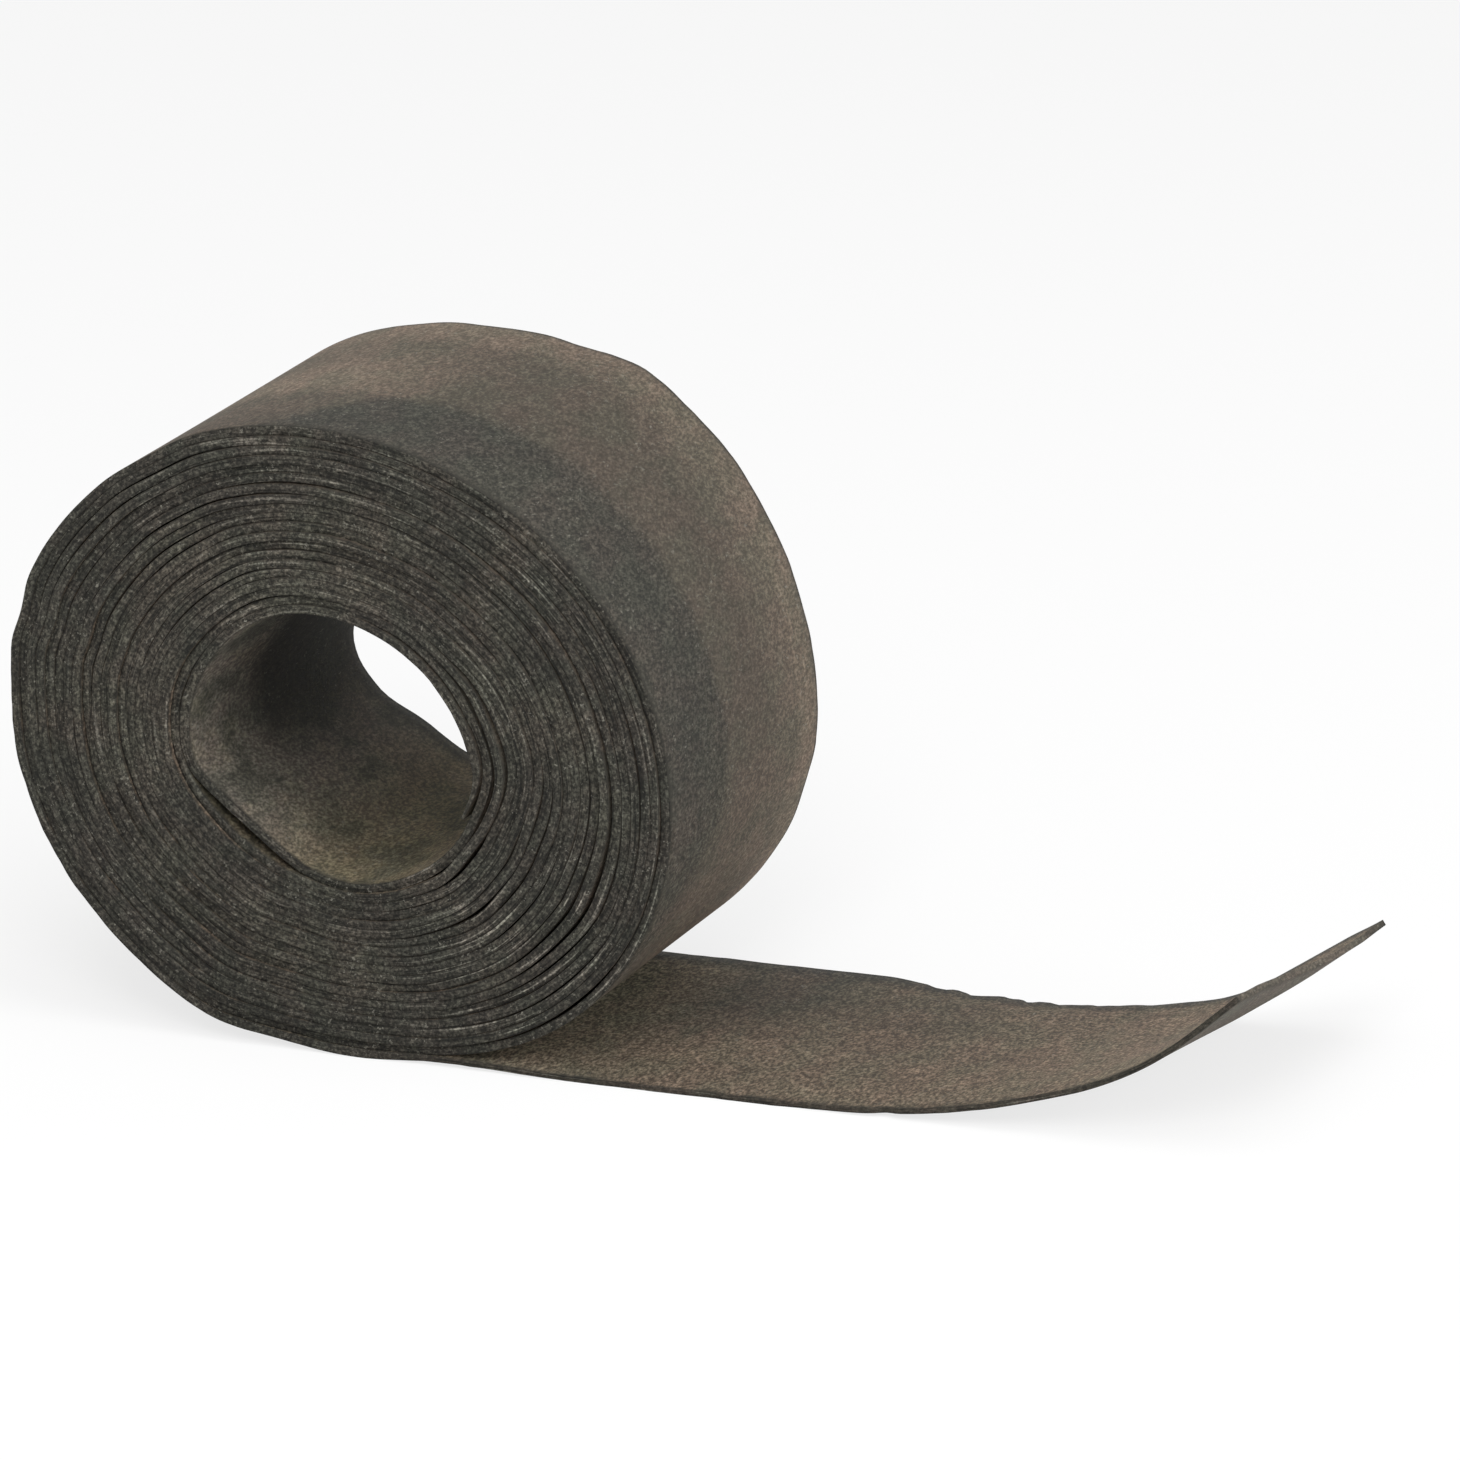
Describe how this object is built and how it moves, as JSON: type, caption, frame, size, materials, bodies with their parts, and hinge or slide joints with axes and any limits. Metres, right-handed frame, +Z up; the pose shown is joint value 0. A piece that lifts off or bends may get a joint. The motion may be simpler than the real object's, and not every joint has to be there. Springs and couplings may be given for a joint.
{
  "type": "roll of damp proof course",
  "caption": "Roll of bitumen damp proof course strip lying on its side, with an open bore and its loose end pulled out flat and curling up at the cut.",
  "frame": {"origin": "middle of the bore: on the roll's axis, halfway across its width", "axes": "+Y along the bore, +X towards the loose end, +Z up; the ground is 84 mm below the origin"},
  "size_m": [0.3191, 0.1124, 0.168],
  "materials": {
    "sanded_bitumen": "matt, dusted with fine sand"
  },
  "bodies": {
    "root": {"damp_proof_strip": "sanded_bitumen"}
  },
  "joints": []
}
